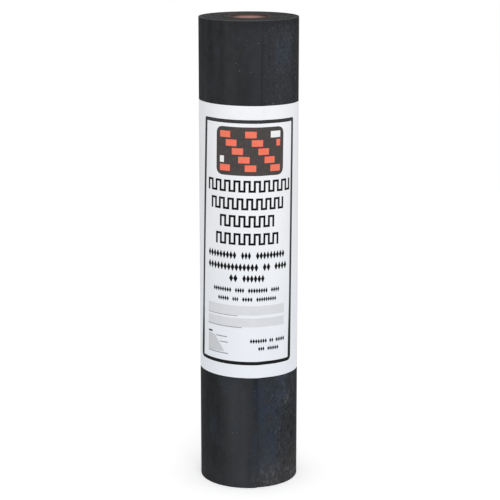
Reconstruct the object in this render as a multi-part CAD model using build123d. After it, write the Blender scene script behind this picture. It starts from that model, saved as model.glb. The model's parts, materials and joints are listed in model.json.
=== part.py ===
from build123d import *
import os
from math import acos, degrees

# Roll of roofing felt standing on its end, in millimetres.
# The origin is on the core's axis at the bottom end, +Z runs up the roll and -Y is its front.

# Wound sheet
sheet_width = 914.4        # a 36 inch wide sheet, which is the height of the standing roll
sheet_pitch = 2.75         # what one turn adds to the radius
turns = 20                 # whole turns on the core
lap_angle = 12.0           # degrees from the front to the loose edge, towards +X

# Gap between turns, seen on both ends
seam_width = 0.5           # at the end face
seam_depth = 1.2           # from the end face down to the bottom of the V

# Cardboard core
core_bore = 76.2           # a 3 inch bore
core_wall = 4.0
core_clearance = 0.2       # between the core and the first turn, on the radius

# Paper wrapper
wrapper_height = 530.0
wrapper_bottom = 226.0     # lower edge above the bottom end, on the roll's axis
wrapper_thickness = 0.25
wrapper_clearance = 0.15   # between the sheet and the paper, on the radius
wrapper_skew = 0.8         # degrees that the band sits askew, right side low
wrapper_overlap = 30.0     # paper lapped over itself where the band is glued
wrapper_seam_angle = 170.0 # degrees from the front to the glued lap, towards +X

# Sizes that follow
core_radius = core_bore / 2 + core_wall
first_radius = core_radius + core_clearance
lap_radius = first_radius + turns * sheet_pitch
FRONT = -90.0


def half_turn(radius, side):
    """One half turn of the spiral, as the arc's centre and radius.

    The spiral is a chain of half circles that meet on the local X axis. It starts there at
    the given radius, on the + or - side, and is half a pitch further out at its other end.
    """
    centre = Vector(-side * sheet_pitch / 4, 0)
    return centre, radius + sheet_pitch / 4


def spiral_arc(radius, side):
    """The edge of one half turn, anticlockwise."""
    centre, arc_radius = half_turn(radius, side)
    start = 0 if side > 0 else 180
    return CenterArc(centre, arc_radius, start, 180)


def roll_profile():
    """The roll's end: one turn of the spiral, closed by the step at the loose edge."""
    under = lap_radius - sheet_pitch
    first = spiral_arc(under, 1)
    second = spiral_arc(under + sheet_pitch / 2, -1)
    step = Line(second @ 1, first @ 0)
    return make_face([first, second, step])


def bridged_profile():
    """The same end with the step bridged by a tangent, as a tight paper band lies on it."""
    under = lap_radius - sheet_pitch
    centre, arc_radius = half_turn(under, 1)
    reach = degrees(acos(arc_radius / (lap_radius - centre.X)))
    first = CenterArc(centre, arc_radius, reach, 180 - reach)
    second = spiral_arc(under + sheet_pitch / 2, -1)
    bridge = Line(second @ 1, first @ 0)
    return make_face([first, second, bridge])


def turn_seam():
    """The V-shaped gap between the turns, cut from an end face that lies at z = 0.

    It starts one turn out, over the sheet's inner end, and ends at the loose edge's step.
    The V is drawn past the end face by its own depth, so that it cuts cleanly.
    """
    pieces = []
    for half in range(2, 2 * (turns - 1)):
        radius = first_radius + half * sheet_pitch / 2
        side = 1 if half % 2 == 0 else -1
        centre, _ = half_turn(radius, side)
        mouth = side * radius
        section = Plane.XZ * Polyline(
            (mouth, -seam_depth),
            (mouth + seam_width, seam_depth),
            (mouth - seam_width, seam_depth),
            close=True,
        )
        pieces.append(revolve(make_face(section), Axis(centre, (0, 0, 1)), 180))
    return Part() + pieces


def felt_roll():
    """The wound sheet as one solid, with the hole for its core."""
    roll = extrude(roll_profile(), sheet_width)
    roll -= extrude(Circle(first_radius), sheet_width)
    seam = turn_seam()
    roll -= Pos(0, 0, sheet_width) * seam
    roll -= mirror(seam, Plane.XY)
    return Rot(0, 0, FRONT + lap_angle) * roll


def core_tube():
    """The cardboard core, flush with both ends of the sheet."""
    tube = Circle(core_radius) - Circle(core_bore / 2)
    return extrude(tube, sheet_width)


def wrapper():
    """The paper band, with its glued lap at the back and its edges a little askew."""
    end = bridged_profile()
    inside = offset(end, wrapper_clearance)
    middle = offset(end, wrapper_clearance + wrapper_thickness)
    outside = offset(end, wrapper_clearance + 2 * wrapper_thickness)
    turn = Rot(0, 0, FRONT + lap_angle)
    reach = 2 * lap_radius
    lap_zone = Pos(reach / 2, 0) * Rectangle(reach, wrapper_overlap)
    lap_zone = Rot(0, 0, FRONT + wrapper_seam_angle) * lap_zone
    lap = (turn * outside - turn * middle) & lap_zone
    paper = extrude(turn * middle - turn * inside + lap, sheet_width)
    centre_height = wrapper_bottom + wrapper_height / 2
    slab = Box(2 * reach, 2 * reach, wrapper_height)
    return paper & Pos(0, 0, centre_height) * Rot(0, wrapper_skew, 0) * slab


parts = {
    "core_tube": core_tube(),
    "felt_roll": felt_roll(),
    "label_wrap": wrapper(),
}
os.makedirs("parts", exist_ok=True)
for node, solid in parts.items():
    export_step(solid, f"parts/{node}.step")
    print(f"{node}: volume {solid.volume / 1000:.1f} cm3")
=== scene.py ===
# %% [markdown]
# # A roll of roofing felt
#
# The real thing is a long sheet of asphalt-coated felt wound on a cardboard core and stood on
# its end. A paper label goes right round its middle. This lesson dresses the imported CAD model:
# it winds the sheet again as a true spiral, so that the turns show on the ends, wraps and prints
# the label, and gives each surface the finish of the real material.

# %% Load the frame
import json
from math import acos, atan2, cos, pi, radians, sin, tau

import bmesh
import bpy
from mathutils import Matrix, Vector


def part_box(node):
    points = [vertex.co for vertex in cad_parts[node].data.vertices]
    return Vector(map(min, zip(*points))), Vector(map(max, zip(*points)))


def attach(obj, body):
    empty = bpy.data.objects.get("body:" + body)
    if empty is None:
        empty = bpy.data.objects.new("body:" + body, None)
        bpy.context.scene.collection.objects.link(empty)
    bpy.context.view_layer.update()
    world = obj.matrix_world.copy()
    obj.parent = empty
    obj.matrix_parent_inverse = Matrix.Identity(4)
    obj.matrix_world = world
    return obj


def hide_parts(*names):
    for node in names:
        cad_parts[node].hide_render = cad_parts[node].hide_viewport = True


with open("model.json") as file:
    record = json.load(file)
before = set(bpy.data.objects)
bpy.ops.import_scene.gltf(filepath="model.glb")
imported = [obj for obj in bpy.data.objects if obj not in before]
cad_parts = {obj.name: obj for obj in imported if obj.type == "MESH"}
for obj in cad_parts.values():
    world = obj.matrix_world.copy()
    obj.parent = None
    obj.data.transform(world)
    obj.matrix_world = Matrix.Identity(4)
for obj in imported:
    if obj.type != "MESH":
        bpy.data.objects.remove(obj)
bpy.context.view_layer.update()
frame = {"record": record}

MM = 0.001

# %% [markdown]
# The sizes come from the CAD model wherever they can be read there: the sheet's height and the
# core's outside from the boxes of its nodes, and the bore from its mount. The pitch of the spiral
# and the place of the loose edge can't be read from a box, so they are named here with the values
# that the part is built to.

# %% Sizes of the roll
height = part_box("felt_roll")[1].z
core_radius = (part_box("core_tube")[1].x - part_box("core_tube")[0].x) / 2
mounts = {mount["name"]: mount for mount in frame["record"]["mounts"]}
bore_radius = mounts["core_bore"]["dims"]["r_mm"] * MM

turns = 20
pitch = 2.75 * MM
core_clearance = 0.2 * MM
first_radius = core_radius + core_clearance
lap_radius = first_radius + turns * pitch
mean_radius = lap_radius - pitch / 2
lap_angle = radians(12)
front = -pi / 2
print("roll", round(height, 4), "m high, radius at the loose edge", round(lap_radius, 4))

# %% [markdown]
# Three helpers turn written colours into Blender's, add a shader node and start a material.
# Colours are written as sRGB hex values, because that is how a colour is read off a real surface,
# and Blender's sockets take linear light. The same small function adds every node, whatever its
# kind: its inputs are given in the order in which the node shows them, or by name.

# %% Colours and nodes
def linear(hex_colour):
    """An sRGB hex colour as linear red, green, blue and alpha, by the sRGB standard's curve."""
    channels = [int(hex_colour[i:i + 2], 16) / 255 for i in (1, 3, 5)]
    curve = [c / 12.92 if c <= 0.04045 else ((c + 0.055) / 1.055) ** 2.4 for c in channels]
    return (*curve, 1.0)


def add(tree, kind, *ordered, **named):
    """Adds one node and gives back the first socket that it makes.

    Inputs are numbers, colours or other sockets, in their order or by their capitalised name.
    The node's own settings are given by their names in small letters.
    """
    node = tree.nodes.new("ShaderNode" + kind)
    for name, value in named.items():
        if name.islower():
            setattr(node, name, value)
    shown = [socket for socket in node.inputs if socket.enabled]
    given = list(zip(shown, ordered))
    given += [(socket, named[socket.name]) for socket in shown if socket.name in named]
    for socket, value in given:
        if isinstance(value, bpy.types.NodeSocket):
            tree.links.new(value, socket)
        else:
            socket.default_value = value
    return next(socket for socket in node.outputs if socket.enabled)


def new_material(name, roughness, specular):
    """A Principled material: itself, its node tree and its shader node."""
    material = bpy.data.materials.new(name)
    material.use_nodes = True
    shader = material.node_tree.nodes["Principled BSDF"]
    shader.inputs["Roughness"].default_value = roughness
    shader.inputs["Specular IOR Level"].default_value = specular
    print("material", name)
    return material, material.node_tree, shader


# %% [markdown]
# A real surface gets its look in layers: a base that varies, then dust, dirt and wear, each in
# its own place. These helpers say the same in nodes. Every pattern reads the place on the roll
# itself, in metres, so it keeps its real size and stays put from every side.

# %% Patterns and layers
def object_place(tree):
    """Where a point lies on the roll: as one vector, and as its x, y and z."""
    place = add(tree, "TexCoord").node.outputs["Object"]
    across, depth, up = add(tree, "SeparateXYZ", place).node.outputs
    return place, across, depth, up


def clouds(tree, place, width, stretch=1.0, shift=0.0, detail=3.0):
    """Cloudy patches about this wide, and this many times longer up the roll."""
    moved = add(tree, "Mapping", place, Location=(shift, shift, shift), Scale=(1, 1, 1 / stretch))
    return add(tree, "TexNoise", moved, Scale=1 / width, Detail=detail)


def spots(tree, place, spacing, size, share, stretch=1.0, shift=0.0):
    """A mask of small spots: how far apart, how big beside that, and what share of them shows."""
    moved = add(tree, "Mapping", place, Location=(shift, shift, shift), Scale=(1, 1, 1 / stretch))
    cells = add(tree, "TexVoronoi", moved, Scale=1 / spacing).node.outputs
    inside = within(tree, cells["Distance"], size, size * 0.5)
    luck = add(tree, "SeparateColor", cells["Color"])
    chosen = add(tree, "Math", luck, share, operation="LESS_THAN")
    return add(tree, "Math", inside, chosen, operation="MULTIPLY")


def within(tree, value, *edges):
    """A mask that comes in smoothly over the first two values and goes out over the next two."""
    coming = add(tree, "MapRange", value, edges[0], edges[1], interpolation_type="SMOOTHSTEP")
    if len(edges) == 2:
        return coming
    going = add(tree, "MapRange", value, edges[3], edges[2], interpolation_type="SMOOTHSTEP")
    return add(tree, "Math", coming, going, operation="MULTIPLY")


def shade(tree, value, low, high):
    """Colours a value. Low and high are each a value and the hex colour that it gets."""
    share = add(tree, "MapRange", value, low[0], high[0])
    return add(tree, "Mix", share, linear(low[1]), linear(high[1]), data_type="RGBA")


def lay(tree, under, hex_colour, share, *masks):
    """Lays a colour over what is there, to this share, where all its masks are 1."""
    for mask in masks:
        share = add(tree, "Math", mask, share, operation="MULTIPLY")
    return add(tree, "Mix", share, under, linear(hex_colour), data_type="RGBA")


relief_strength = 0.6


def relief(tree, shader, *layers):
    """Gives the surface relief. Each layer is a value and the depth that it stands for."""
    inputs = {"Strength": relief_strength}
    for value, depth in layers:
        inputs.update(Height=value, Distance=depth)
        inputs["Normal"] = add(tree, "Bump", **inputs)
    tree.links.new(inputs["Normal"], shader.inputs["Normal"])


# %% [markdown]
# Every piece ends in the same way. Its mesh is shaded smooth but for its real corners, which bend
# more sharply than its round parts do, and its object is tied to the one body that the roll is.

# %% Finish a piece
corner_bend = radians(38)


def new_piece(name, bm, materials):
    """Makes an object from a bmesh, riding on the roll."""
    mesh = bpy.data.meshes.new(name)
    bm.to_mesh(mesh)
    bm.free()
    for material in materials:
        mesh.materials.append(material)
    mesh.shade_smooth()
    mesh.set_sharp_from_angle(angle=corner_bend)
    piece = bpy.data.objects.new(name, mesh)
    bpy.context.collection.objects.link(piece)
    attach(piece, "root")
    print(name, len(mesh.polygons), "faces")
    return piece


# %% [markdown]
# The photograph looks down on the roll from some way off with a long lens: the top end shows as
# a thin ellipse and the sides stay almost parallel. A level camera with a shifted lens would keep
# them exactly parallel, but its shift would push the roll out of every other view, so the camera
# is tilted instead and stands far back. Its place, tilt and lens were fitted to the roll's outline
# in the photograph.

# %% Camera
camera_data = bpy.data.cameras.new("camera")
camera_data.sensor_width = 36
camera_data.lens = 124.57
camera_data.clip_end = 100
camera = bpy.data.objects.new("camera", camera_data)
camera_side = 1.7 * MM
camera_distance = 3.3
camera_height = 1.2294
camera_pitch = radians(13.157)
camera.location = (camera_side, -camera_distance, camera_height)
camera.rotation_euler = (pi / 2 - camera_pitch, 0, 0)
bpy.context.collection.objects.link(camera)
bpy.context.scene.camera = camera
bpy.context.scene.view_settings.view_transform = "Standard"
print("camera", camera_distance, "m in front of the roll and", camera_height, "m up")

# %% [markdown]
# The stage is a floor in matte white paint, which mirrors nothing, under an even white sky. One
# large soft lamp stands in front, a little to the right, so that the paper is brightest right of
# its middle and falls off towards both sides. Its light is a trace cooler than white. The sky is
# at full strength and the floor glows a little only where the camera or a reflection sees them.
# That makes the background white without lighting the roll any harder, and the floor keeps the
# roll's shadow.

# %% Floor, sky and lamp
sky_strength = 0.72
floor_reach = 40
floor_glow = 0.36
lamp_share = 0.30
lamp_side = 2.4
lamp_colour = (0.97, 0.985, 1.0)
lamp_place = Vector((0.6, -3.8, 1.9))
lamp_aim = Vector((0, 0, 0.45))


def seen_directly(tree):
    """1 for what the camera sees, also in a reflection or through glass, and 0 for stray light."""
    rays = add(tree, "LightPath").node.outputs
    seen = add(tree, "Math", rays["Is Camera Ray"], rays["Is Glossy Ray"], operation="MAXIMUM")
    return add(tree, "Math", seen, rays["Is Transmission Ray"], operation="MAXIMUM")


def make_sky():
    world = bpy.data.worlds.new("sky")
    bpy.context.scene.world = world
    world.use_nodes = True
    tree = world.node_tree
    sky = tree.nodes["Background"]
    sky.inputs["Color"].default_value = (1, 1, 1, 1)
    strength = add(tree, "MapRange", seen_directly(tree), 0.0, 1.0, sky_strength, 1.0)
    tree.links.new(strength, sky.inputs["Strength"])


def make_floor():
    bm = bmesh.new()
    bmesh.ops.create_grid(bm, x_segments=1, y_segments=1, size=floor_reach)
    mesh = bpy.data.meshes.new("floor")
    bm.to_mesh(mesh)
    bm.free()
    floor = bpy.data.objects.new("floor", mesh)
    bpy.context.collection.objects.link(floor)
    material, tree, shader = new_material("white_floor", roughness=0.9, specular=0.0)
    shader.inputs["Base Color"].default_value = linear("#f2f2f2")
    shader.inputs["Emission Color"].default_value = (1, 1, 1, 1)
    glow = add(tree, "Math", seen_directly(tree), floor_glow, operation="MULTIPLY")
    tree.links.new(glow, shader.inputs["Emission Strength"])
    mesh.materials.append(material)


def make_lamp():
    lamp_data = bpy.data.lights.new("softbox", "AREA")
    lamp_data.shape = "SQUARE"
    lamp_data.size = lamp_side
    lamp_data.color = lamp_colour
    lamp = bpy.data.objects.new("softbox", lamp_data)
    lamp.location = lamp_aim + lamp_place
    lamp.rotation_euler = (-lamp_place).to_track_quat("-Z", "Y").to_euler()
    # so much power that a white card at the roll would get this share of full light
    lamp_data.energy = lamp_share * pi * pi * lamp_place.length_squared
    bpy.context.collection.objects.link(lamp)
    print("softbox", round(lamp_data.energy), "W")


make_sky()
make_floor()
make_lamp()

# %% [markdown]
# ## The sheet's materials
#
# The outside of the roll is the sheet's plain back: oxidised asphalt, rolled hot and dusted with
# talc and fine sand so that the turns don't stick. To the eye it is a matte black. Rollers leave
# soft bands up the roll, and the dust makes it mottled and grainy. Real sand is finer than a pixel
# here, so the grain is drawn 3 mm wide. What the roll has been through since is laid over this
# ground, one function for each cause, and with it painted sheen, painted highlight and painted
# shade.

# %% Ground of the asphalt
roller_band = 46 * MM
mottle_width = 11 * MM
grain_width = 3 * MM


def asphalt_ground(tree, shader):
    """Bands, mottling and grain, in falling strength."""
    place, _, _, _ = object_place(tree)
    bands = clouds(tree, place, roller_band, stretch=8, shift=0.31, detail=1.5)
    mottle = clouds(tree, place, mottle_width, stretch=1.8, detail=5.0)
    grain = clouds(tree, place, grain_width, detail=2.0)
    relief(tree, shader, (bands, 1.5 * MM), (mottle, 0.5 * MM), (grain, 0.3 * MM))
    tone = add(tree, "Math", bands, 0.6, operation="MULTIPLY")
    tone = add(tree, "Math", mottle, 0.22, tone, operation="MULTIPLY_ADD")
    tone = add(tree, "Math", grain, 0.18, tone, operation="MULTIPLY_ADD")
    return shade(tree, tone, (0.36, "#1d1e1f"), (0.64, "#343537"))


def front_side(tree, depth):
    """A mask for the side of the roll that faces the front."""
    return within(tree, depth, 20 * MM, -20 * MM)


def low_part(tree, up):
    """A mask for the bare sheet below the label."""
    return within(tree, up, 235 * MM, 185 * MM)


# %% [markdown]
# The right side of the roll is painted lighter: partly dust, partly a painted sheen from the lamp
# at the front right. That lighter layer falls away again at the far right edge, which paints shade
# there. The dust is bluish where it lies thick: in one broad patch below the label, in a small one
# near the top, and close under the label at the far right. Dust drifts, so the sides of these
# patches are ragged: the place across the roll is pushed about by the drift's own pattern before it
# is measured.

# %% Dust and painted sheen
dust_patch = 30 * MM
dust_wander = 70 * MM


def lay_dust_and_sheen(tree, colour):
    place, across, depth, up = object_place(tree)
    facing = front_side(tree, depth)
    # the right side painted lighter, partly dust and partly painted sheen; it falls away at the far
    # right, which paints shade there
    dust_and_sheen_side = within(tree, across, -80 * MM, 60 * MM, 76 * MM, 97 * MM)
    colour = lay(tree, colour, "#404145", 0.42, dust_and_sheen_side)
    drift = clouds(tree, place, dust_patch, stretch=1.6, shift=0.12, detail=6.0)
    colour = lay(tree, colour, "#363d49", 0.3, within(tree, drift, 0.56, 0.72))

    wander = add(tree, "Math", drift, 0.5, operation="SUBTRACT")
    ragged = add(tree, "Math", wander, dust_wander, across, operation="MULTIPLY_ADD")
    right = within(tree, ragged, -8 * MM, 34 * MM, 50 * MM, 74 * MM)
    far_right = within(tree, ragged, 44 * MM, 64 * MM, 74 * MM, 90 * MM)
    thick = within(tree, drift, 0.3, 0.6)
    above_end = within(tree, up, 10 * MM, 60 * MM)
    colour = lay(tree, colour, "#303b4a", 0.7, thick, low_part(tree, up), above_end, right, facing)
    near_top = within(tree, up, 812 * MM, 848 * MM, 872 * MM, 896 * MM)
    colour = lay(tree, colour, "#3b4250", 0.42, thick, near_top, far_right, facing)
    under_label = within(tree, up, 150 * MM, 185 * MM, 245 * MM, 265 * MM)
    return lay(tree, colour, "#434a58", 0.4, under_label, far_right, facing)


# %% [markdown]
# Left of the middle, one band below the label is paler than the rest. The band beside it was rubbed
# at both ends by the hands that carried the roll.

# %% Pale bands
def lay_pale_bands(tree, colour):
    _, across, depth, up = object_place(tree)
    facing = front_side(tree, depth)
    paler = within(tree, across, -48 * MM, -30 * MM, -12 * MM, 4 * MM)
    colour = lay(tree, colour, "#474a4e", 0.28, paler, low_part(tree, up), facing)
    handled = within(tree, across, -74 * MM, -62 * MM, -46 * MM, -34 * MM)
    low_end = within(tree, up, 125 * MM, 85 * MM)
    colour = lay(tree, colour, "#4d4f51", 0.12, handled, low_end, facing)
    high_end = within(tree, up, 745 * MM, 775 * MM)
    return lay(tree, colour, "#4d4f51", 0.09, handled, high_end, facing)


# %% [markdown]
# The sheet is painted darker in a band left of its loose edge, and a thin painted shadow line runs
# along the step at the edge. The edge was cut a little off square, so it leans. The place across
# the roll, less the edge's own place at that height, says how far a point lies beside the edge.

# %% Darker band and painted shadow line along the loose edge
edge_lean = radians(3)


def lay_edge_darkening(tree, colour):
    _, across, depth, up = object_place(tree)
    facing = front_side(tree, depth)
    slope = edge_lean * cos(lap_angle) * lap_radius / (height / 2)
    edge_middle = lap_radius * sin(lap_angle) - slope * height / 2
    edge = add(tree, "Math", up, -slope, -edge_middle, operation="MULTIPLY_ADD")
    edge = add(tree, "Math", edge, across, operation="ADD")
    # a band left of the loose edge, painted darker
    beside_edge = within(tree, edge, -16 * MM, -6 * MM, -MM, MM)
    by_label = within(tree, up, 70 * MM, 215 * MM, 240 * MM, 250 * MM)
    colour = lay(tree, colour, "#151a23", 0.4, beside_edge, by_label, facing)
    # a thin painted shadow line along the step at the loose edge
    painted_step_shadow = within(tree, edge, -2 * MM, -MM, 0.0, MM)
    clear_of_ends = within(tree, up, 60 * MM, 700 * MM, height - 80 * MM, height - 20 * MM)
    return lay(tree, colour, "#131415", 0.3, painted_step_shadow, clear_of_ends, facing)


# %% [markdown]
# The dusty side is freckled and pitted, with dark blotches below the label, and grains of sand
# cling to it. A few fine scratches run up the roll. The freckles are drawn 4.5 mm wide, because
# real ones are finer than a pixel.

# %% Freckles, pits and sand
freckle_width = 4.5 * MM
blotch_width = 12 * MM


def lay_freckles(tree, colour):
    place, across, _, up = object_place(tree)
    freckled = within(tree, across, 5 * MM, 60 * MM)
    freckles = clouds(tree, place, freckle_width, stretch=1.3, shift=0.4, detail=4.0)
    colour = lay(tree, colour, "#595c61", 0.3, within(tree, freckles, 0.54, 0.7), freckled)
    colour = lay(tree, colour, "#191a1d", 0.4, within(tree, freckles, 0.45, 0.32), freckled)
    blotches = clouds(tree, place, blotch_width, stretch=1.2, shift=0.73, detail=5.0)
    blotches = within(tree, blotches, 0.42, 0.35)
    blotched = within(tree, across, 40 * MM, 65 * MM)
    colour = lay(tree, colour, "#17181b", 0.65, blotches, blotched, low_part(tree, up))

    rough_side = within(tree, across, -90 * MM, 20 * MM)
    pits = spots(tree, place, spacing=9 * MM, size=0.2, share=0.35)
    colour = lay(tree, colour, "#1b1b1e", 0.6, pits, rough_side)
    sand = spots(tree, place, spacing=7 * MM, size=0.15, share=0.13, stretch=1.3, shift=0.2)
    colour = lay(tree, colour, "#8c8f93", 0.5, sand, rough_side)
    scratches = spots(tree, place, spacing=8 * MM, size=0.1, share=0.03, stretch=9)
    return lay(tree, colour, "#6b6662", 0.35, scratches)


# %% [markdown]
# One pale scrape lies low on the right. It leans, so it is measured as the loose edge is. The roll
# was dragged on its bottom end, which left it worn there, and scuffed on the right side. Its top
# rim is painted pale, a painted highlight that is strongest on the left, and the sheet just under
# the rim is darker left of the middle.

# %% Scrape, scuffs and painted rim highlight
scrape_middle = 176 * MM
scrape_lean = 0.55
scuff_height = 60 * MM
rim_highlight_width = 1.2 * MM


def lay_scrape(tree, colour):
    place, across, depth, up = object_place(tree)
    streaks = within(tree, clouds(tree, place, 4 * MM, stretch=2, detail=2.0), 0.5, 0.64)
    leaned = add(tree, "Math", up, -scrape_lean, scrape_lean * scrape_middle, operation="MULTIPLY_ADD")
    leaned = add(tree, "Math", leaned, across, operation="ADD")
    beside = within(tree, leaned, 66 * MM, 70 * MM, 76 * MM, 81 * MM)
    along = within(tree, up, 158 * MM, 166 * MM, 184 * MM, 194 * MM)
    return lay(tree, colour, "#716b67", 0.6, streaks, beside, along, front_side(tree, depth))


def lay_wear_and_rim_highlight(tree, colour):
    place, across, depth, up = object_place(tree)
    dragged = within(tree, up, scuff_height, 10 * MM)
    colour = lay(tree, colour, "#54555a", 0.13, dragged)
    dragged_side = within(tree, across, -5 * MM, 35 * MM)
    worn = within(tree, up, 110 * MM, 45 * MM)
    colour = lay(tree, colour, "#6f6862", 0.07, worn, dragged_side, front_side(tree, depth))
    scuffs = clouds(tree, place, 6 * MM, stretch=1.6, shift=0.55, detail=4.0)
    scuffs = within(tree, scuffs, 0.46, 0.66)
    colour = lay(tree, colour, "#67686a", 0.55, scuffs, dragged, dragged_side)

    # darker just under the top rim, left of the middle
    under_rim = within(tree, up, height - 26 * MM, height - 3 * MM)
    colour = lay(tree, colour, "#1f2022", 0.4, under_rim, within(tree, across, -60 * MM, 0.0))
    # a painted highlight along the top rim, stronger on the left
    rim_highlight = within(tree, up, height - rim_highlight_width, height)
    return lay(tree, colour, "#5f5e61", 0.5, rim_highlight, within(tree, across, 90 * MM, -10 * MM))


# %% [markdown]
# The whole finish is the ground with these layers over it: the real marks in the order in which
# they came, with the painted sheen, highlight and shade among them. Dusted asphalt scatters nearly
# all the light that it gives back, so it is rough and has little specular.

# %% Dusted asphalt
def dusted_asphalt():
    material, tree, shader = new_material("dusted_asphalt", roughness=0.85, specular=0.06)
    colour = asphalt_ground(tree, shader)
    for layer in (lay_dust_and_sheen, lay_pale_bands, lay_edge_darkening, lay_freckles, lay_scrape, lay_wear_and_rim_highlight):
        colour = layer(tree, colour)
    tree.links.new(colour, shader.inputs["Base Color"])
    return material


# %% [markdown]
# The cut edge of the sheet shows its layers: the asphalt coating, the mat and the mineral
# granules of the other side, sheared into one dark grey crumbly band. It gives back a little more
# light than the sheet's back does. No two turns took up the same dust, so the turns differ in
# tone, and the outermost one is painted lighter, a painted highlight along the rim.

# %% Cut edge of the sheet
granule_width = 1.8 * MM
edge_dust_patch = 14 * MM


def cut_sheet_edge():
    material, tree, shader = new_material("cut_sheet_edge", roughness=0.9, specular=0.12)
    place, across, depth, _ = object_place(tree)
    cells = add(tree, "TexVoronoi", place, Scale=1 / granule_width).node.outputs
    granules = add(tree, "SeparateColor", cells["Color"])
    colour = shade(tree, granules, (0.0, "#383738"), (1.0, "#4b494a"))

    # dust that changes from turn to turn reads the radius alone
    outwards = add(tree, "CombineXYZ", across, depth)
    radius = add(tree, "VectorMath", outwards, operation="LENGTH")
    rings = add(tree, "CombineXYZ", radius)
    ring_dust = within(tree, add(tree, "TexNoise", rings, Scale=1 / (2 * pitch)), 0.4, 0.65)
    colour = lay(tree, colour, "#575455", 0.45, ring_dust)
    dust = within(tree, clouds(tree, place, edge_dust_patch, detail=4.0), 0.45, 0.7)
    colour = lay(tree, colour, "#545051", 0.25, dust)
    # the outermost turn painted lighter: a painted highlight along the rim
    rim_highlight = within(tree, radius, lap_radius - 1.7 * pitch, lap_radius - pitch)
    colour = lay(tree, colour, "#656367", 0.5, rim_highlight)
    tree.links.new(colour, shader.inputs["Base Color"])
    relief(tree, shader, (cells["Distance"], 0.3 * MM))
    return material


# %% [markdown]
# ## Winding the sheet
#
# On the real roll one sheet goes round and round, each turn lying on the last. The same thing can
# be made here with one spin of the sheet's cross-section about the core, where each step also
# moves the section outwards by its share of the pitch. Blender turns that move with the section,
# so it stays radial and the result is an even spiral. The further turns are the same turn again,
# each a pitch further out. The gap between them is real and goes as dark as it should.

# %% Wind the spiral
steps_per_turn = 90
turn_gap = 0.6 * MM
sheet_thickness = pitch - turn_gap
edge_round = 0.65 * MM
weld_distance = 0.01 * MM


def sheet_section(bm):
    """The sheet's cross-section in the XZ plane: a tall thin rectangle with rounded corners."""
    inside = first_radius + turn_gap
    outside = inside + sheet_thickness
    corners = [
        bm.verts.new((radius, 0, z))
        for radius, z in ((inside, 0), (outside, 0), (outside, height), (inside, height))
    ]
    bm.faces.new(corners)
    bmesh.ops.bevel(
        bm, geom=corners, offset=edge_round, segments=3, profile=0.5, affect="VERTICES", material=-1
    )
    bmesh.ops.delete(bm, geom=bm.faces[:], context="FACES_ONLY")


def further_out(vert, distance):
    """Moves a point straight away from the axis."""
    scale = 1 + distance / vert.co.xy.length
    vert.co.x *= scale
    vert.co.y *= scale


def wind(bm):
    """Spins one turn, lays it down again for each further turn, and welds them end to end."""
    bmesh.ops.spin(
        bm, geom=bm.verts[:] + bm.edges[:], cent=(0, 0, 0), axis=(0, 0, 1),
        dvec=(pitch / steps_per_turn, 0, 0), angle=tau, steps=steps_per_turn,
    )
    one_turn = bpy.data.meshes.new("one turn")
    bm.to_mesh(one_turn)
    # the section itself reaches one pitch out, so one turn fewer ends at the loose edge
    for turn in range(1, turns - 1):
        bm.from_mesh(one_turn)
        for vert in bm.verts[:][-len(one_turn.vertices):]:
            further_out(vert, turn * pitch)
    bpy.data.meshes.remove(one_turn)
    bmesh.ops.remove_doubles(bm, verts=bm.verts[:], dist=weld_distance)
    bmesh.ops.holes_fill(bm, edges=[edge for edge in bm.edges if edge.is_boundary], sides=0)
    bmesh.ops.recalc_face_normals(bm, faces=bm.faces[:])


# %% [markdown]
# A perfect spiral would lift off the core straight away. A real first turn lies flat on the core
# and climbs only where it meets the sheet's own inner end, and the bump dies out over the next
# turns. The turns are also never quite level with each other on the ends: they rise and sink in
# two waves, less so on the end that the roll stands on, and the outermost turns lie level. Both
# are small moves of the finished points, worked out from how many turns out each point lies.

# %% Settle the turns
climb_start = radians(325)
bump_turns = 9
end_play = 1.5 * MM
slow_wave = 2.1
quick_wave = 5.3
bottom_share = 0.4
level_start = turns - 4
level_reach = 2
angle_slack = 1e-4
turn_slack = 0.06


def smooth(share):
    """A share from 0 to 1 that starts and ends gently."""
    share = min(max(share, 0.0), 1.0)
    return share * share * (3 - 2 * share)


def angle_of(vert):
    """The point's angle about the axis, from the sheet's loose edge and with the winding."""
    angle = atan2(vert.co.y, vert.co.x) % tau
    return angle if angle < tau - angle_slack else 0.0


def play_at(through):
    """How far the sheet's edge lies inside the roll's end, this many turns out."""
    waves = 0.5 + 0.3 * sin(slow_wave * through) + 0.2 * sin(quick_wave * through + 1)
    return waves * end_play * (1 - smooth((through - level_start) / level_reach))


def settle(bm):
    """Lays the first turn flat on the core, and lets the turns rise and sink on the ends."""
    for vert in bm.verts:
        angle = angle_of(vert)
        # a whole number on the sheet's inner side, and most of one more on its outer side
        wound = (vert.co.xy.length - first_radius - turn_gap) / pitch - angle / tau
        through = int(wound + turn_slack) + angle / tau
        climb = smooth((angle - climb_start) / (tau - climb_start)) - angle / tau
        further_out(vert, pitch * climb * (1 - smooth(through / bump_turns)))
        play = play_at(through)
        vert.co.z += play * bottom_share if vert.co.z < height / 2 else -play


# %% [markdown]
# The loose edge lies near the front. It was cut a little off square, so it leans, and the last
# finger's width of the sheet is pressed thin.

# %% Lean and thin the loose edge
lean_reach = radians(25)
press_reach = 9 * MM
press_depth = 0.9 * MM


def lap_at(z):
    """How far the loose edge leans at this height, as an angle about the core."""
    return edge_lean * (z - height / 2) / (height / 2)


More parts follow.
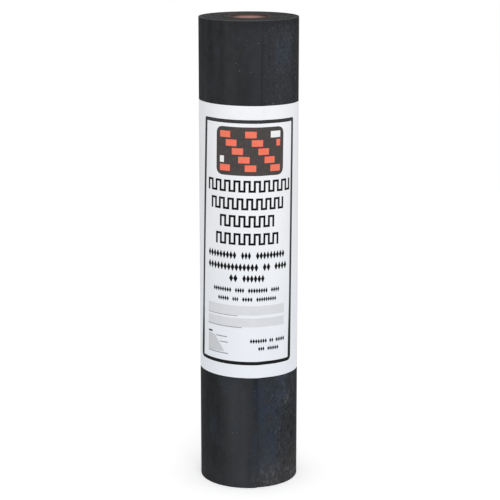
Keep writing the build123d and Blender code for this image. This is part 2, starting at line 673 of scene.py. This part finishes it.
def finish_loose_edge(bm):
    """Leans the end of the last turn, and presses its outer side in."""
    last_inside = lap_radius - pitch
    for vert in bm.verts:
        angle = angle_of(vert)
        behind = tau - angle if angle else 0.0
        radius = vert.co.xy.length
        # all but the end of the outermost turn stays as it is
        if behind > lean_reach or radius < last_inside - pitch * behind / tau:
            continue
        if radius > last_inside + sheet_thickness * 0.5:
            radius -= press_depth * (1 - smooth(behind * radius / press_reach))
        leaned = -behind + lap_at(vert.co.z) * (1 - behind / lean_reach)
        vert.co.x = radius * cos(leaned)
        vert.co.y = radius * sin(leaned)


def make_sheet():
    bm = bmesh.new()
    sheet_section(bm)
    wind(bm)
    settle(bm)
    finish_loose_edge(bm)
    turned = Matrix.Rotation(front + lap_angle, 3, "Z")
    bmesh.ops.rotate(bm, verts=bm.verts[:], cent=(0, 0, 0), matrix=turned)
    # a face that looks up, down or along the winding is a cut edge
    for face in bm.faces:
        outwards = face.normal.xy.normalized().dot(face.calc_center_median().xy.normalized())
        face.material_index = 1 if abs(face.normal.z) > 0.5 or abs(outwards) < 0.5 else 0
    sheet = new_piece("wound_sheet", bm, [dusted_asphalt(), cut_sheet_edge()])
    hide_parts("felt_roll")


make_sheet()

# %% [markdown]
# ## The core
#
# The core is a tube of kraft board, wound from strips that run round it at a slant, so a faint
# spiral joint shows on its inside. Kraft board is matte and fibrous, and this one is a warm pink
# tan. Its sides are painted darker, painted shade with some felt dust, it is painted darker deeper
# in below its top mouth as painted shade, and its mouths are soiled. The cut ends are the same
# board, but they drew in asphalt from the sheet, which gives them a blotchy dark brown.

# %% Kraft board
board_strip = 95 * MM
joint_width = 1.4 * MM
fibre_width = 3 * MM
stain_width = 6 * MM


def kraft_board():
    material, tree, shader = new_material("kraft_board", roughness=0.82, specular=0.25)
    place, across, depth, up = object_place(tree)
    fibres = clouds(tree, place, fibre_width, stretch=0.33, detail=4.0)
    colour = shade(tree, fibres, (0.25, "#a18279"), (0.75, "#bf9f96"))
    # the joint rises by one strip for each time it goes round
    turned = add(tree, "Math", depth, across, operation="ARCTAN2")
    turned = add(tree, "Math", turned, tau, operation="DIVIDE")
    risen = add(tree, "Math", up, 1 / board_strip, turned, operation="MULTIPLY_ADD")
    risen = add(tree, "Math", risen, operation="FRACT")
    joint = add(tree, "Math", risen, joint_width / board_strip, operation="LESS_THAN")
    colour = lay(tree, colour, "#6f5146", 1.0, joint)
    # rosy in the middle, painted shade with some felt dust at the sides, painted shade deeper in below
    # the top mouth, and soiled at both mouths
    off_middle = add(tree, "Math", across, operation="ABSOLUTE")
    colour = lay(tree, colour, "#c9938a", 0.35, within(tree, off_middle, 24 * MM, 8 * MM))
    # painted shade towards both sides of the bore, with some felt dust
    colour = lay(tree, colour, "#564c49", 0.65, within(tree, off_middle, 14 * MM, 34 * MM))
    # painted shade deeper in the bore, below the top mouth
    shade_below_mouth = within(tree, up, height - 9 * MM, height - 17 * MM)
    colour = lay(tree, colour, "#55423e", 0.7, shade_below_mouth)
    colour = lay(tree, colour, "#412c28", 0.85, within(tree, up, height - 5 * MM, height - 1.5 * MM))
    colour = lay(tree, colour, "#412c28", 0.7, within(tree, up, 6 * MM, MM))
    tree.links.new(colour, shader.inputs["Base Color"])
    relief(tree, shader, (fibres, 0.15 * MM))
    return material


def stained_board():
    material, tree, shader = new_material("stained_board", roughness=0.88, specular=0.2)
    place, _, _, _ = object_place(tree)
    stain = clouds(tree, place, stain_width, detail=5.0)
    colour = shade(tree, stain, (0.35, "#302726"), (0.75, "#5a4641"))
    tree.links.new(colour, shader.inputs["Base Color"])
    relief(tree, shader, (stain, 0.2 * MM))
    return material


# %% [markdown]
# A tube could be a cylinder with a hole cut through it. It is simpler as a turner would make it:
# the wall's profile, with its corners a little broken by use, spun once round the axis.

# %% Spin the core
mouth_break = 0.6 * MM
core_steps = 96


def make_core():
    bm = bmesh.new()
    corners = [
        bm.verts.new(corner)
        for corner in (
            (bore_radius, 0, 0), (core_radius, 0, 0), (core_radius, 0, height), (bore_radius, 0, height)
        )
    ]
    bm.faces.new(corners)
    bmesh.ops.bevel(
        bm, geom=corners, offset=mouth_break, segments=2, profile=0.5, affect="VERTICES", material=-1
    )
    bmesh.ops.delete(bm, geom=bm.faces[:], context="FACES_ONLY")
    bmesh.ops.spin(
        bm, geom=bm.verts[:] + bm.edges[:], cent=(0, 0, 0), axis=(0, 0, 1),
        dvec=(0, 0, 0), angle=tau, steps=core_steps, use_merge=True,
    )
    bmesh.ops.recalc_face_normals(bm, faces=bm.faces[:])
    # the cut ends and their broken corners are stained
    for face in bm.faces:
        face.material_index = 1 if abs(face.normal.z) > 0.3 else 0
    core = new_piece("core_board_tube", bm, [kraft_board(), stained_board()])
    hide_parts("core_tube")


make_core()

# %% [markdown]
# ## The label
#
# The label is one strip of coated paper, glued over itself at the back. It is made the way a
# printer makes it: flat, with its print laid out in millimetres from the middle of the front.
# One function then wraps any flat point round the roll. It turns the flat layout a little first,
# because the strip went on askew, so that its two ends don't quite meet in line at the back. Over
# the loose edge of the sheet the paper can't follow the step, so it bridges it in a straight
# tangent, which leaves the crease that the photograph shows. The tangent touches the turn below
# where that has climbed by 0.038 of its pitch past the step.

# %% Wrap flat points round the roll
label_low, label_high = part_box("label_wrap")
label_middle = (label_low.z + label_high.z) / 2
label_height = 530 * MM
label_skew = radians(0.8)
label_overlap = 30 * MM
paper_clearance = 0.06 * MM
paper_thickness = 0.2 * MM

bridge_climb = 0.038 * pitch
bridge_radius = lap_radius - pitch + bridge_climb
bridge_angle = acos(bridge_radius / lap_radius)
print("the paper bridges the step over", round(bridge_angle * lap_radius / MM, 1), "mm")


def paper_radius(angle):
    """Radius of the paper's inner side, by the angle past the loose edge."""
    angle = angle % tau
    spiral = lap_radius - pitch + pitch * angle / tau
    if angle < bridge_angle:
        return max(spiral, bridge_radius / cos(angle - bridge_angle))
    return spiral


def wrapped(flat, lift):
    """Places a flat point of the label, x along the strip and y up it, on the roll."""
    along = flat.x * cos(label_skew) + flat.y * sin(label_skew)
    up = -flat.x * sin(label_skew) + flat.y * cos(label_skew)
    angle = along / mean_radius
    z = label_middle + up
    radius = paper_radius(angle - lap_angle - lap_at(z)) + paper_clearance + lift
    return Vector((radius * cos(front + angle), radius * sin(front + angle), z))


def face_outwards(bm):
    """Turns every face of a wrapped sheet away from the roll's axis."""
    bm.normal_update()
    for face in bm.faces:
        if face.normal.xy.dot(face.calc_center_median().xy) < 0:
            face.normal_flip()


# %% [markdown]
# Coated label paper is wood pulp under a calendered layer of clay. To the eye it is a bright,
# slightly blue white with a soft sheen and a faint cloudiness from its fibres. It lies tight, with
# shallow puckers, and leans more to blue towards its lower edge. The black sheet dulls it a little
# from below. Where it is glued over itself, two layers hide the black better, so the lap is a shade
# whiter, and along its free end runs a grey line, partly dirt and partly a painted shadow of the
# paper's edge.

# %% Label paper
pucker_width = 60 * MM
pulp_width = 4 * MM


def along_strip(tree, across, depth, up):
    """How far along the strip a point on the back lies, undone from the way it is wrapped."""
    past_back = add(tree, "Math", across, -1.0, operation="MULTIPLY")
    past_back = add(tree, "Math", past_back, depth, operation="ARCTAN2")
    round_core = mean_radius * cos(label_skew)
    along = add(tree, "Math", past_back, round_core, pi * round_core, operation="MULTIPLY_ADD")
    above_middle = add(tree, "Math", up, label_middle, operation="SUBTRACT")
    return add(tree, "Math", above_middle, -sin(label_skew), along, operation="MULTIPLY_ADD")


def coated_paper(free_end):
    """The paper, for a strip whose free end lies this far along it from the front."""
    material, tree, shader = new_material("coated_paper", roughness=0.5, specular=0.3)
    place, across, depth, up = object_place(tree)
    puckers = clouds(tree, place, pucker_width, stretch=2.2, detail=2.0)
    fibres = clouds(tree, place, pulp_width, detail=5.0)
    tone = add(tree, "Math", fibres, 0.35, puckers, operation="MULTIPLY_ADD")
    colour = shade(tree, tone, (0.4, "#ecedf0"), (0.95, "#f5f6f9"))
    lower_part = within(tree, up, label_middle + 100 * MM, label_low.z)
    colour = lay(tree, colour, "#e9eef6", 0.6, lower_part)

    along = along_strip(tree, across, depth, up)
    lap_start = free_end - label_overlap
    doubled = within(tree, along, lap_start, lap_start + MM, free_end, free_end + 0.3 * MM)
    colour = lay(tree, colour, "#fcfdff", 0.45, doubled)
    # a grey line along the free end: dirt, and a painted shadow of the paper's edge
    lap_line_edges = (free_end - MM, free_end - 0.3 * MM, free_end + 0.4 * MM, free_end + MM)
    lap_dirt_and_shadow = within(tree, along, *lap_line_edges)
    colour = lay(tree, colour, "#8f8d8c", 0.5, lap_dirt_and_shadow)
    tree.links.new(colour, shader.inputs["Base Color"])
    relief(tree, shader, (puckers, 1.0 * MM), (fibres, 0.05 * MM))
    return material


# %% [markdown]
# The paper is a flat grid the size of the strip. Its columns are narrow, so that it bends smoothly
# round the roll. Near its free end it climbs by a little more than its own thickness, on to the
# lap, and only then is it given that thickness.

# %% Wrap the paper
label_seam = radians(170)
column = 2.5 * MM
row = 10 * MM
lap_ramp = 6 * MM
lap_lift = 1.3 * paper_thickness
paper_columns = round((mean_radius * tau + label_overlap) / column)
paper_rows = round(label_height / row)
paper_length = paper_columns * column
paper_end = round((label_seam * mean_radius + label_overlap / 2) / column) * column


def make_paper():
    bm = bmesh.new()
    bmesh.ops.create_grid(bm, x_segments=paper_columns, y_segments=paper_rows, size=0.5)
    bmesh.ops.scale(bm, verts=bm.verts[:], vec=(paper_length, label_height, 1))
    bmesh.ops.translate(bm, verts=bm.verts[:], vec=(paper_end - paper_length / 2, 0, 0))
    for vert in bm.verts:
        past_ramp = vert.co.x - paper_end + label_overlap + lap_ramp / 2
        vert.co = wrapped(vert.co, paper_thickness + lap_lift * smooth(past_ramp / lap_ramp))
    face_outwards(bm)
    bmesh.ops.solidify(bm, geom=bm.faces[:], thickness=paper_thickness)
    paper = new_piece("label_paper", bm, [coated_paper(paper_end)])
    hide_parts("label_wrap")


make_paper()

# %% [markdown]
# ## The print
#
# A label like this is printed in a few flat inks. Its design is a plain one: a black border, a
# charcoal panel of staggered blocks, four rows of fret, seven rows of small diamonds, two grey
# bands and a small grey diagram. Each ink could be a pattern in the paper's own material, but a
# flat mesh for each keeps its edges sharp at any distance.
#
# Offset ink is a film of about a thousandth of a millimetre, pressed on from a rubber blanket. To
# the eye it is duller than the paper round it and nearly even, with a faint cloudiness where it
# lies thinner. So each ink has two colours, one where it is full and one where it is thin.

# %% Ink
ink_cloud = 5 * MM


def ink(name, full_colour, thin_colour, foot_colour=None):
    """Offset ink. One that was laid on more heavily at the label's foot has a colour for that."""
    material, tree, shader = new_material(name, roughness=0.6, specular=0.08)
    place, _, _, up = object_place(tree)
    coverage = clouds(tree, place, ink_cloud, detail=4.0)
    colour = shade(tree, coverage, (0.3, full_colour), (0.8, thin_colour))
    if foot_colour:
        foot = within(tree, up, label_low.z + 120 * MM, label_low.z + 50 * MM)
        colour = lay(tree, colour, foot_colour, 0.9, foot)
    tree.links.new(colour, shader.inputs["Base Color"])
    return material


# %% [markdown]
# Each print is laid out flat, in millimetres. It is cut where the paper bends, so that it can bend
# with it, and then wrapped a hair above the paper. A cut that runs through a corner leaves a sliver
# there, so the slivers are cleared after the cuts.

# %% Flat shapes for the print
ink_lift = 0.06 * MM
top_ink_lift = 2 * ink_lift
sliver = 0.01 * MM


def block(bm, left, right, bottom, top, corner=0.0):
    """A flat rectangle in millimetres, with its corners rounded if asked."""
    verts = [
        bm.verts.new((x * MM, y * MM, 0))
        for x, y in ((left, bottom), (right, bottom), (right, top), (left, top))
    ]
    bm.faces.new(verts)
    if corner:
        bmesh.ops.bevel(
            bm, geom=verts, offset=corner * MM, segments=3, profile=0.5, affect="VERTICES", material=-1
        )


def cut_like_paper(bm):
    """Cuts a flat print where the paper's own columns and rows run, so that both bend alike."""
    for axis, start, step in ((0, 0.0, column), (1, -label_height / 2, row)):
        low = min(vert.co[axis] for vert in bm.verts)
        high = max(vert.co[axis] for vert in bm.verts)
        normal = [0, 0, 0]
        normal[axis] = 1
        line = int((low - start) // step) + 1
        while start + line * step < high:
            place = [0, 0, 0]
            place[axis] = start + line * step
            bmesh.ops.bisect_plane(
                bm, geom=bm.verts[:] + bm.edges[:] + bm.faces[:], plane_co=place, plane_no=normal
            )
            line += 1
    bmesh.ops.dissolve_degenerate(bm, edges=bm.edges[:], dist=sliver)


def lay_on(name, bm, material, lift):
    """Bends a flat print round the roll, just over the paper, and makes it a piece."""
    cut_like_paper(bm)
    for vert in bm.verts:
        vert.co = wrapped(vert.co, paper_thickness + lift)
    face_outwards(bm)
    piece = new_piece(name, bm, [material])


# %% [markdown]
# The border is one thick line with rounded corners. It leans a little on its left side, and towards
# the foot of the label it grows heavier and blacker, as printed. It starts as one rectangle, cut
# into steps where it is to grow, which is inset by the width of the line. The inner part is thrown
# away once its rim has been pushed to where the line is to end. The upper corners are rounded by
# less than the line is thick, so the inset would fold over there: they are pared off afterwards.

# %% Border
border_line = 6.8
border_corners = ((-113.0, -239.0), (99.0, -239.0), (99.2, 238.7), (-100.6, 238.7))
foot_round = 9.0
upper_round = 4.0
grow_start = -110.0
grow_end = -210.0
grow_step = 10.0
grow_left = 3.4
grow_right = 1.8


def make_border():
    bm = bmesh.new()
    corners = [bm.verts.new((x * MM, y * MM, 0)) for x, y in border_corners]
    bm.faces.new(corners)
    bmesh.ops.bevel(
        bm, geom=corners[:2], offset=foot_round * MM, segments=6, profile=0.5, affect="VERTICES",
        material=-1,
    )
    for step in range(round((grow_start - grow_end) / grow_step) + 1):
        cut_height = (grow_start - step * grow_step) * MM
        whole = bm.verts[:] + bm.edges[:] + bm.faces[:]
        bmesh.ops.bisect_plane(bm, geom=whole, plane_co=(0, cut_height, 0), plane_no=(0, 1, 0))
    bmesh.ops.inset_region(
        bm, faces=bm.faces[:], thickness=border_line * MM, use_even_offset=True, use_boundary=True
    )
    middle = [face for face in bm.faces if not any(edge.is_boundary for edge in face.edges)]
    inner = {vert for face in middle for vert in face.verts}
    # the left side grows both ways, and the right side inwards
    for vert in bm.verts:
        grown = smooth((grow_start - vert.co.y / MM) / (grow_start - grow_end))
        if vert.co.x < 0:
            vert.co.x += grown * grow_left * MM * (0.5 if vert in inner else -0.5)
        elif vert in inner:
            vert.co.x -= grown * grow_right * MM
    bmesh.ops.delete(bm, geom=middle, context="FACES")
    # three cuts at even angles round off each upper corner
    for corner_x, corner_y in border_corners[2:]:
        side = 1 if corner_x > 0 else -1
        hub = Vector((corner_x - side * upper_round, corner_y - upper_round, 0)) * MM
        for turned in (pi / 8, pi / 4, 3 * pi / 8):
            outwards = Vector((side * cos(turned), sin(turned), 0))
            bmesh.ops.bisect_plane(
                bm, geom=bm.verts[:] + bm.edges[:] + bm.faces[:], clear_outer=True,
                plane_co=hub + outwards * upper_round * MM, plane_no=outwards,
            )
    lay_on("label_border", bm, ink("black_ink", "#2f2f31", "#454548", "#131314"), ink_lift)


make_border()

# %% [markdown]
# Fret and diamonds are among the oldest printers' ornaments. A fret is one line that goes up,
# across, down and across again, so it is built from blocks as thick as the line. The rows grow
# smaller down the label, and the small ones are broken into runs, so each row is written down as
# the height of its middle, its own height, and where its runs start and end.

# %% Rows of fret and diamonds
fret_rows = (
    (112.0, 23.0, ((-89, 88),)),
    (78.0, 23.0, ((-80, 71),)),
    (44.5, 23.0, ((-59, 50),)),
    (10.0, 23.0, ((-68, 60),)),
)
diamond_rows = (
    (-22.0, 16.2, ((-88, -24), (-15, 4), (13, 76))),
    (-45.0, 16.4, ((-88, 18), (27, 43), (52, 82))),
    (-67.0, 16.0, ((-38, -21), (-12, 31))),
    (-90.5, 11.2, ((-73, -33), (-26, -8), (-1, 38), (45, 64))),
    (-108.0, 10.2, ((-62, -38), (-31, -19), (-12, 8), (15, 57))),
    (-191.0, 10.1, ((4, 38), (43, 52), (57, 79))),
    (-206.5, 9.7, ((20, 33), (39, 64))),
)
fret_line = 4.2
fret_pitch = 9.4
diamond_width = 0.45
diamond_half = 0.495


def add_fret(bm, left, right, bottom, top):
    """Upright lines joined in turn at the top and at the bottom."""
    spaces = round((right - left - fret_line) / fret_pitch)
    step = (right - left - fret_line) / spaces
    for number in range(spaces + 1):
        place = left + number * step
        block(bm, place, place + fret_line, bottom, top)
        if number < spaces:
            joint = bottom if number % 2 else top - fret_line
            block(bm, place + fret_line, place + step, joint, joint + fret_line)


def add_diamonds(bm, left, right, bottom, top):
    """A chain of diamonds, a little under half as wide as they are tall, point beside point."""
    count = round((right - left) / (diamond_width * (top - bottom)))
    step = (right - left) / count
    for number in range(count):
        middle = left + (number + 0.5) * step
        half = diamond_half * step
        waist = (bottom + top) / 2
        points = ((middle, bottom), (middle + half, waist), (middle, top), (middle - half, waist))
        bm.faces.new([bm.verts.new((x * MM, y * MM, 0)) for x, y in points])


def make_rows():
    black = ink("row_ink", "#050506", "#141416")
    for name, rows, add_run in (
        ("label_fret", fret_rows, add_fret),
        ("label_diamonds", diamond_rows, add_diamonds),
    ):
        bm = bmesh.new()
        for middle, tall, runs in rows:
            for left, right in runs:
                add_run(bm, left, right, middle - tall / 2, middle + tall / 2)
        lay_on(name, bm, black, ink_lift)


make_rows()

# %% [markdown]
# The two bands are tints so pale that they hardly darken the paper. The diagram is a slope in a
# darker tint, with a few thin rules and one short dash. Each block is written down as its left and
# right side, its foot and its top.

# %% Grey bands and diagram
band_left = -88.0
band_right = 77.0
band_heights = ((-139.5, -121.0), (-163.0, -145.5))
slope_outline = ((-87.5, -217.5), (-46.0, -215.0), (-69.0, -185.0), (-87.5, -182.0))
thin_rules = (
    (-66.0, -41.0, -186.0, -184.0),
    (-57.0, -39.0, -197.0, -195.0),
    (-87.5, -38.5, -219.5, -217.5),
    (-88.0, -12.0, -164.6, -163.0),
    (-88.0, -20.0, -141.6, -140.2),
)
short_dash = (-87.0, -76.0, -180.5, -177.0)


def make_bands():
    bm = bmesh.new()
    for bottom, top in band_heights:
        block(bm, band_left, band_right, bottom, top)
    lay_on("label_bands", bm, ink("grey_ink", "#d8d9dd", "#e0e1e5"), ink_lift)


def make_diagram():
    bm = bmesh.new()
    bm.faces.new([bm.verts.new((x * MM, y * MM, 0)) for x, y in slope_outline])
    lay_on("label_slope", bm, ink("mid_grey_ink", "#cacbcf", "#d4d5d9"), ink_lift)

    bm = bmesh.new()
    for rule in thin_rules:
        block(bm, *rule)
    lay_on("label_leaders", bm, ink("thin_grey_ink", "#94959a", "#a4a5aa"), top_ink_lift)

    bm = bmesh.new()
    block(bm, *short_dash)
    lay_on("label_dash", bm, ink("dark_grey_ink", "#3c3c40", "#4c4c50"), top_ink_lift)


make_bands()
make_diagram()

# %% [markdown]
# The charcoal panel carries courses of staggered blocks, as shingles are laid. Every second place
# is left empty, and the blocks shift by one place after each pair of courses. They are printed in
# orange, with two left white, which are named by their course and their place in it.

# %% Panel of blocks
panel_left = -68.0
panel_right = 69.0
panel_bottom = 132.5
panel_top = 225.0
panel_margin = 8.0
panel_corner = 12.0
courses = 5
blocks_across = 5
block_gap = 3.6
white_blocks = ((4, 4), (1, 0))


def panel_blocks():
    """Each block of the panel, as its course and place and as its four sides."""
    left = panel_left + panel_margin
    right = panel_right - panel_margin
    bottom = panel_bottom + panel_margin
    course_height = (panel_top - panel_margin - bottom + block_gap) / courses
    block_width = (right - left + block_gap) / blocks_across
    for course in range(courses):
        low = bottom + course * course_height
        start = left - (course % 2) * block_width / 2
        for place in range(blocks_across + 1):
            first = max(start + place * block_width, left)
            last = min(start + (place + 1) * block_width - block_gap, right)
            empty = (place + course // 2) % 2
            # a stump narrower than the gap is left out
            if last - first >= block_gap and not empty:
                yield (course, place), (first, last, low, low + course_height - block_gap)


def make_panel():
    bm = bmesh.new()
    block(bm, panel_left, panel_right, panel_bottom, panel_top, corner=panel_corner)
    lay_on("label_panel", bm, ink("charcoal_ink", "#474241", "#524d4b"), ink_lift)

    orange = bmesh.new()
    white = bmesh.new()
    for where, sides in panel_blocks():
        block(white if where in white_blocks else orange, *sides)
    lay_on("panel_orange_blocks", orange, ink("orange_ink", "#f2735a", "#f7836a"), top_ink_lift)
    lay_on("panel_white_blocks", white, ink("white_ink", "#eeeeee", "#f4f4f4"), top_ink_lift)


make_panel()
